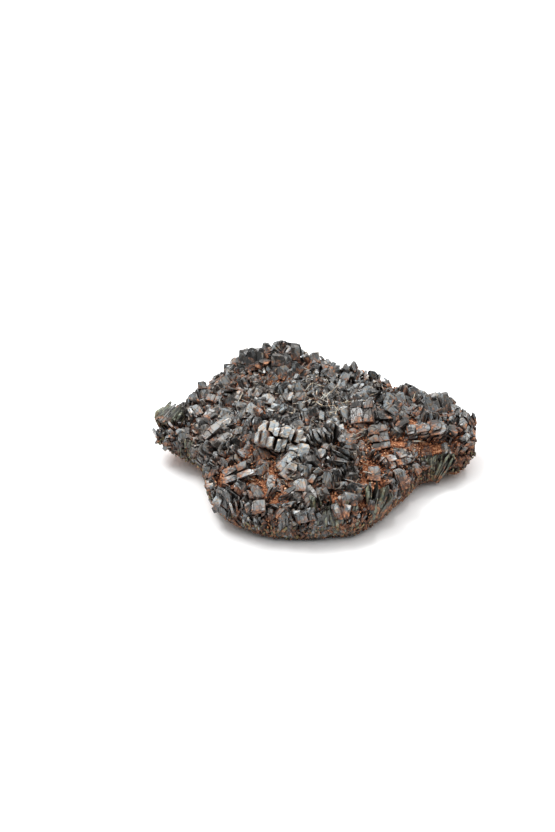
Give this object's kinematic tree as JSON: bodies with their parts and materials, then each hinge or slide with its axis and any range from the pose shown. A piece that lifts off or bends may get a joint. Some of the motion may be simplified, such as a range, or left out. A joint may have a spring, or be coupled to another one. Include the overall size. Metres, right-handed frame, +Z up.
{
  "type": "epidote crystal cluster on matrix",
  "caption": "Low slab of rust-stained rock overgrown by dark tabular crystals in stacks, fans and sheaves; it rests on its flat underside.",
  "frame": {"origin": "middle of the specimen's box, on the surface that it rests on", "axes": "+X along the slab's long side, +Y from the front edge to the back, +Z up through the crystals"},
  "size_m": [0.085, 0.068, 0.0216],
  "materials": {
    "epidote": "dark grey tabular crystals with a glassy lustre on the broad faces",
    "green_epidote": "fibrous grey-green crystals, silky along their length",
    "rusty_rock": "rough granular rock stained rust brown, olive towards the foot"
  },
  "bodies": {
    "root": {"matrix": "rusty_rock", "left_tip_fan": "epidote", "left_upper_blocks": "epidote", "left_flat_plate": "epidote", "left_ribbed_stack": "epidote", "back_left_knob": "epidote", "back_knob": "epidote", "back_tall_blade": "epidote", "right_back_blocks": "epidote", "right_tip_blade": "epidote", "centre_fan": "epidote", "centre_bright_blades": "epidote", "centre_dark_fan": "epidote", "curved_stack": "epidote", "right_plate_pair": "epidote", "right_plate_stack": "epidote", "right_broad_plate": "epidote", "right_diagonal_blade": "epidote", "right_flat_blades": "epidote", "right_rim_sheaf": "green_epidote", "front_sheaf": "green_epidote", "front_right_sheaf": "green_epidote", "front_left_wedge": "epidote", "front_plates": "epidote", "front_right_block": "epidote", "front_left_blades": "epidote"}
  },
  "joints": []
}
